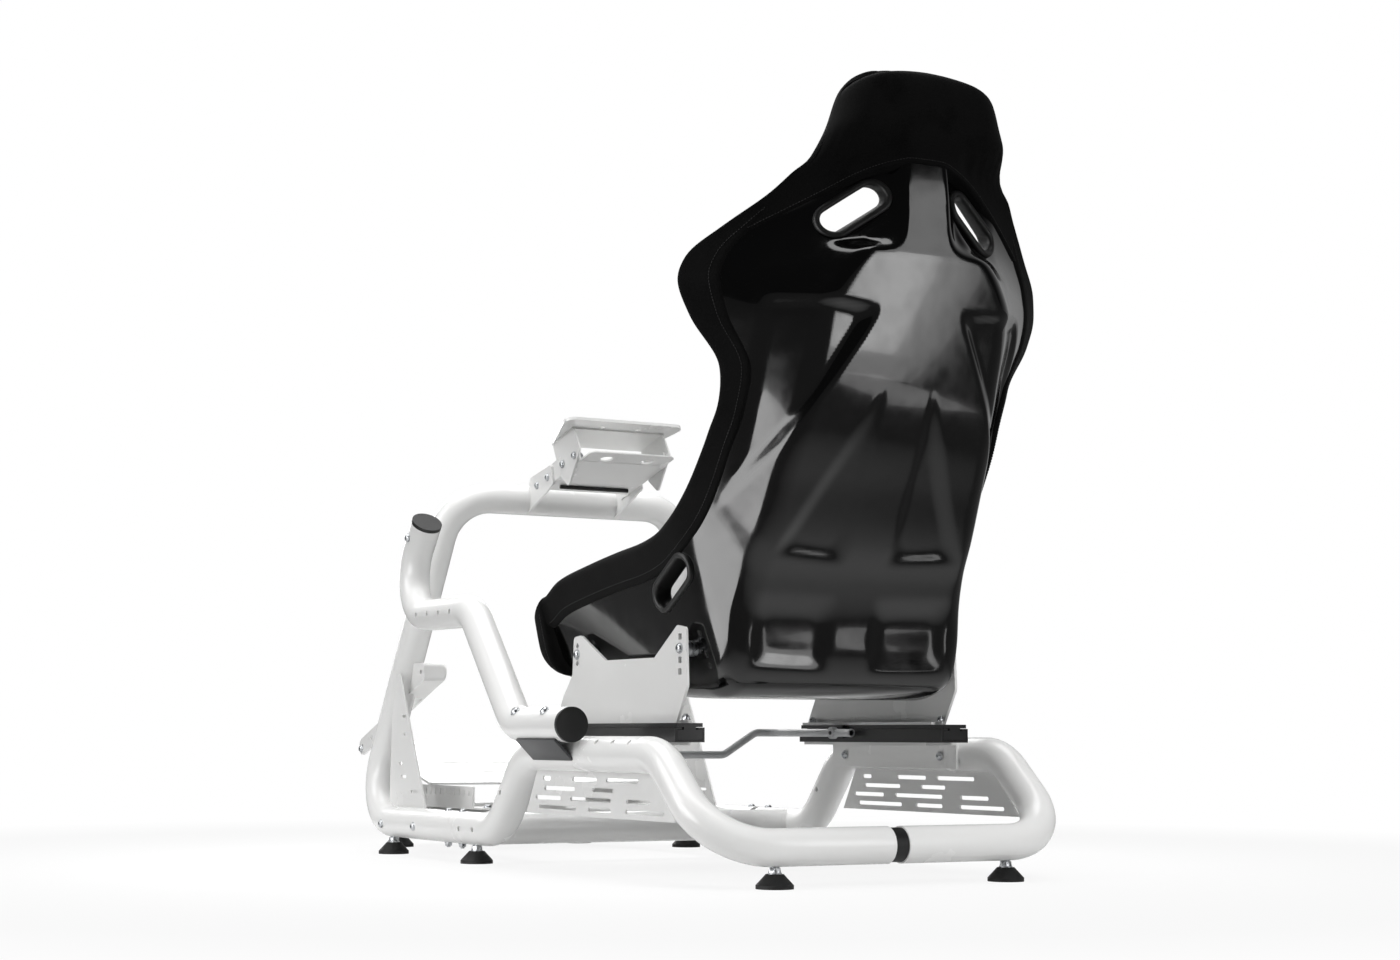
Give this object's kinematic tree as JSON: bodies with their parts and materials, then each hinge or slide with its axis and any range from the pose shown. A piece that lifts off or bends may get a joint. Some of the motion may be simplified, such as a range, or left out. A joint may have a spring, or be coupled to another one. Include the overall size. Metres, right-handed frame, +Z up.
{
  "type": "sim_racing_cockpit",
  "caption": "Sim racing cockpit: white bent-tube frame, black bucket seat on slide rails, tilting wheel deck, sloped pedal plate and a side arm for a shifter",
  "frame": {"origin": "on the floor under the middle of the overall box", "axes": "+X is the driver's right, +Y is forward towards the pedals, +Z is up"},
  "size_m": [0.643, 1.5026, 1.0899],
  "materials": {
    "frame_white": "satin white powder coat",
    "rail_black": "black painted rail",
    "saddle_grey": "dark grey satin paint",
    "handle_grey": "grey satin paint",
    "shell_black": "gloss black moulding",
    "cloth_black": "black suede-like cloth",
    "foot_rubber": "matt black rubber",
    "zinc": "bright zinc",
    "cap_black": "matt black plastic"
  },
  "bodies": {
    "frame": {"rear_tube_left": "frame_white", "rear_tube_right": "frame_white", "rear_joint_sleeve": "cap_black", "side_joint_sleeve": "cap_black", "low_cross_tube": "frame_white", "front_hoop": "frame_white", "pedal_base_tube": "frame_white", "frame_spacers": "cap_black", "foot_pads": "foot_rubber", "foot_studs": "zinc", "side_panel_left": "frame_white", "side_panel_right": "frame_white", "rail_bracket_left": "frame_white", "rail_bracket_right": "frame_white", "lower_rail_left": "rail_black", "lower_rail_right": "rail_black", "arm_tube": "frame_white", "arm_caps": "cap_black", "arm_saddle": "saddle_grey", "leg_fin_left": "frame_white", "leg_fin_right": "frame_white", "pedal_plate": "frame_white", "pedal_rail_left": "frame_white", "pedal_rail_right": "frame_white", "pedal_strut_left": "frame_white", "pedal_strut_right": "frame_white", "strut_bracket_left": "frame_white", "strut_bracket_right": "frame_white", "deck_ear_left": "frame_white", "deck_ear_right": "frame_white"},
    "wheel_deck": {"deck_cradle": "frame_white", "deck_bracket": "frame_white", "deck_plate": "frame_white"},
    "seat": {"upper_rail_left": "rail_black", "upper_rail_right": "rail_black", "rail_latches": "rail_black", "seat_shell": "shell_black", "seat_upholstery": "cloth_black", "seat_spacers": "zinc", "seat_bracket_left": "frame_white", "seat_bracket_right": "frame_white"},
    "release_handle": {"release_bar": "handle_grey"}
  },
  "joints": [
    {"name": "seat_slide", "type": "slide", "parent": "frame", "child": "seat", "axis": [0, 1, 0], "range_m": [-0.08, 0.08]},
    {"name": "release_lift", "type": "hinge", "parent": "seat", "child": "release_handle", "pos_m": [0.0175, -0.2115, 0.202], "axis": [1, 0, 0], "range_deg": [0, 8], "stiffness_Nm_per_rad": 12, "springref_deg": -8.59},
    {"name": "deck_tilt", "type": "hinge", "parent": "frame", "child": "wheel_deck", "pos_m": [0.0175, 0.2875, 0.616], "axis": [1, 0, 0], "range_deg": [-8, 8]}
  ]
}
